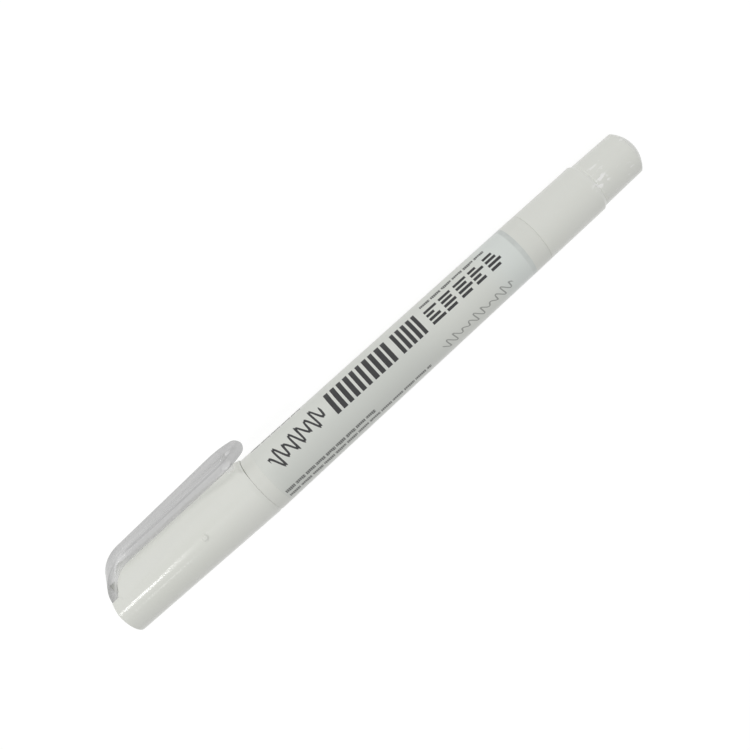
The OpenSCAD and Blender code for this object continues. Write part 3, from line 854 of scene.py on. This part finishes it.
def barrel_shape():
    """The tube turned from its half outline, with every corner rounded.

    Each corner becomes a curve (1-t)^2 A + 2t(1-t) C + t^2 B, where C is the corner and A and B lie on its two
    sides, and one more point on each side keeps the flats flat. The rounded outline is turned round the axis.
    """
    rounding = 0.05
    flat_reach = 1.3
    sides = 288
    outline = np.array([
        [NECK_BORE_RADIUS, NECK_START],
        [NECK_RADIUS, NECK_START],
        [NECK_RADIUS, BEAD_AT - BEAD_HALF_BASE],
        [NECK_RADIUS + BEAD_HEIGHT, BEAD_AT - BEAD_HALF_CREST],
        [NECK_RADIUS + BEAD_HEIGHT, BEAD_AT + BEAD_HALF_CREST],
        [NECK_RADIUS, BEAD_AT + BEAD_HALF_BASE],
        [NECK_RADIUS, SHOULDER_AT - SHOULDER_FORWARD],
        [SHOULDER_RADIUS, SHOULDER_AT - SHOULDER_FORWARD],
        [barrel_radius(SLEEVE[0]), SLEEVE[0]],
        [barrel_radius(SLEEVE[0]) - SLEEVE_THICKNESS, SLEEVE[0]],
        [barrel_radius(SLEEVE[1]) - SLEEVE_THICKNESS, SLEEVE[1]],
        [barrel_radius(SLEEVE[1]), SLEEVE[1]],
        [TAIL_JOINT_RADIUS, TAIL_JOINT_AT],
        [BORE_BACK_RADIUS, TAIL_JOINT_AT],
        [BORE_FRONT_RADIUS, SHOULDER_AT + BORE_FUNNEL],
        [NECK_BORE_RADIUS, SHOULDER_AT],
    ])
    before = np.roll(outline, 1, axis=0) - outline
    after = np.roll(outline, -1, axis=0) - outline
    short = np.minimum(np.linalg.norm(before, axis=1), np.linalg.norm(after, axis=1))
    reach = np.minimum(rounding, 0.3 * short)[:, None, None]
    before = (before / np.linalg.norm(before, axis=1)[:, None])[:, None, :]
    after = (after / np.linalg.norm(after, axis=1)[:, None])[:, None, :]
    t = np.linspace(0, 1, 6)[None, :, None]
    corner = outline[:, None, :]
    bend = corner + reach * ((1 - t) ** 2 * before + t ** 2 * after)
    on_flats = [corner + flat_reach * reach * before, bend, corner + flat_reach * reach * after]
    rounded = np.concatenate(on_flats, axis=1).reshape(-1, 2)
    turn = np.linspace(0, math.tau, sides, endpoint=False)
    radius, along = rounded[:, :1], rounded[:, 1:]
    points = lay(radius * np.cos(turn), radius * np.sin(turn), along)
    rings = len(rounded)
    # the outline is closed, so the last ring joins the first
    quads = wrapped_quads(rings + 1, sides) % (rings * sides)
    return points.reshape(-1, 3), quads


def coil_shape():
    """The valve spring: a round wire whose middle winds round the axis at SPRING_RADIUS.

    It climbs evenly from the pin's flange to the stop in SPRING_TURNS turns; the wire's radius is SPRING_WIRE.
    """
    turn = np.linspace(0, SPRING_TURNS * math.tau, 60 * SPRING_TURNS + 1)[:, None]
    round_wire = np.linspace(0, math.tau, 16, endpoint=False)[None, :]
    low, high = SPRING_ENDS[0] + SPRING_WIRE, SPRING_ENDS[1] - SPRING_WIRE
    radius = SPRING_RADIUS + SPRING_WIRE * np.cos(round_wire)
    along = low + (high - low) * turn / (SPRING_TURNS * math.tau) + SPRING_WIRE * np.sin(round_wire)
    points = lay(radius * np.cos(turn), radius * np.sin(turn), along)
    rings, sides = points.shape[:2]
    first, last = ring_ends(rings, sides)
    return points.reshape(-1, 3), wrapped_quads(rings, sides)[:, ::-1], first, last[::-1]


def show(name, points, quads, ends, finish, node, body):
    """A smooth-shaded mesh of quads and end faces that stands for a node, which it hides, riding on the node's
    body.
    """
    mesh = bpy.data.meshes.new(name)
    mesh.from_pydata(points.tolist(), [], quads.tolist() + [end.tolist() for end in ends])
    mesh.update()
    mesh.polygons.foreach_set("use_smooth", np.ones(len(mesh.polygons), dtype=bool))
    mesh.materials.append(finish.material)
    piece = bpy.data.objects.new(name, mesh)
    bpy.context.scene.collection.objects.link(piece)
    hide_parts(node)
    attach(piece, body)
    return piece


clip_points, clip_quads, *clip_ends = clip_shape()
moulded_clip = show("moulded_clip", clip_points, clip_quads, clip_ends, clear, "clip", "cap")
# clear plastic: it lets the light through to the cap
moulded_clip.visible_shadow = False
moulded_clip.visible_diffuse = False

cap_points, cap_quads, *cap_ends = cap_shape()
moulded_cap = show("moulded_cap", cap_points, cap_quads, cap_ends, white, "cap", "cap")
# steps sharper than this keep a crisp edge
moulded_cap.data.set_sharp_from_angle(angle=math.radians(32))

tube_points, tube_quads = barrel_shape()
show("drawn_barrel", tube_points, tube_quads, [], tube, "barrel", "barrel")

# the valve spring at its rest length; in the pen it shortens toward the stop as the nib is pressed
coil_points, coil_quads, *coil_ends = coil_shape()
wire = spring_wire()
wound_spring = show("wound_spring", coil_points, coil_quads, coil_ends, wire, "valve_spring", "barrel")
tuple(pen_point(0, 0, SPRING_ENDS[1]))
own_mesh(wound_spring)


# ---------------------------------------------------------------- light
def add_lamp(name, direction, distance, size, power):
    """A white oblong lamp, aimed at the middle of the pen, with its longer way of size along the pen."""
    data = bpy.data.lights.new(name, "AREA")
    data.shape = "RECTANGLE"
    data.size, data.size_y = size
    data.energy = power
    lamp = bpy.data.objects.new(name, data)
    back = direction.normalized()
    side = (tailward - back * tailward.dot(back)).normalized()
    lamp.matrix_world = Matrix.Translation(aim + back * distance) @ Matrix(
        (side, back.cross(side), back)
    ).transposed().to_4x4()
    bpy.context.scene.collection.objects.link(lamp)
    return lamp


def from_camera(toward_across, toward_tail):
    """A direction leaning from the camera's, in degrees across to the clip's side and along to the tail."""
    lean, swing = math.radians(toward_across), math.radians(toward_tail)
    straight = toward_camera * math.cos(lean) * math.cos(swing)
    return straight + across * math.sin(lean) + tailward * math.sin(swing)


key = add_lamp("key", from_camera(30, -20), 0.7, (0.6, 0.2), 1.6)
key.visible_glossy = False
# narrow strips that show only as reflected lines along the cap
streaks = [
    add_lamp("streak", from_camera(-3, -28.7), 0.5, (0.04, 0.07), 0.2),
    add_lamp("streak_end", from_camera(-3, -23), 0.5, (0.045, 0.07), 0.01),
    add_lamp("low_streak", from_camera(-30, -27.4), 0.5, (0.05, 0.04), 0.03),
]
for lamp in streaks:
    lamp.visible_diffuse = False

# strengths of the sky and the floor for the rays that carry light, and for the rays that the eye follows
SKY_LIGHT = 0.58
SKY_SEEN = 1.0
FLOOR_LIGHT = 0.49
FLOOR_SEEN = 1.2
FLOOR_GLOW_SHARE = 0.72
FLOOR_HALF_SIDE = 3.0


def strength(shader_tree, for_light, for_eye):
    """for_eye on camera, glossy and transmission rays, and for_light on those from surface to surface."""
    camera_ray = shader_tree.node("ShaderNodeLightPath", {}, 0)
    seen = camera_ray.at_least(camera_ray.beside("Is Glossy Ray"))
    seen = seen.at_least(camera_ray.beside("Is Transmission Ray"))
    return seen.math("MULTIPLY_ADD", for_eye - for_light, for_light)


def add_world():
    """A plain white sky."""
    world = bpy.data.worlds.new("studio")
    world.use_nodes = True
    bpy.context.scene.world = world
    tree = world.node_tree
    sky = tree.nodes["Background"]
    sky.inputs["Color"].default_value = (1, 1, 1, 1)
    tree.links.new(strength(ShaderTree(tree), SKY_LIGHT, SKY_SEEN).socket, sky.inputs["Strength"])


def add_floor():
    """A white floor, mostly glowing, so that the pen leaves only a faint shadow where it lies."""
    half = FLOOR_HALF_SIDE
    corners = [(-half, -half, 0), (half, -half, 0), (half, half, 0), (-half, half, 0)]
    mesh = bpy.data.meshes.new("floor")
    mesh.from_pydata(corners, [], [(0, 1, 2, 3)])
    floor = bpy.data.objects.new("floor", mesh)
    bpy.context.scene.collection.objects.link(floor)
    material = bpy.data.materials.new("pale_floor")
    material.use_nodes = True
    material.node_tree.nodes.clear()
    pale = ShaderTree(material.node_tree)
    matt = pale.node("ShaderNodeBsdfDiffuse", {}, 0, (0.9, 0.9, 0.9))
    glow = pale.node("ShaderNodeEmission", {}, 0, Strength=strength(pale, FLOOR_LIGHT, FLOOR_SEEN))
    surface = pale.node("ShaderNodeMixShader", {}, 0, FLOOR_GLOW_SHARE, matt, glow)
    pale.node("ShaderNodeOutputMaterial", {}, 0, surface)
    mesh.materials.append(material)


add_world()
add_floor()
bpy.context.scene.view_settings.view_transform = "Standard"
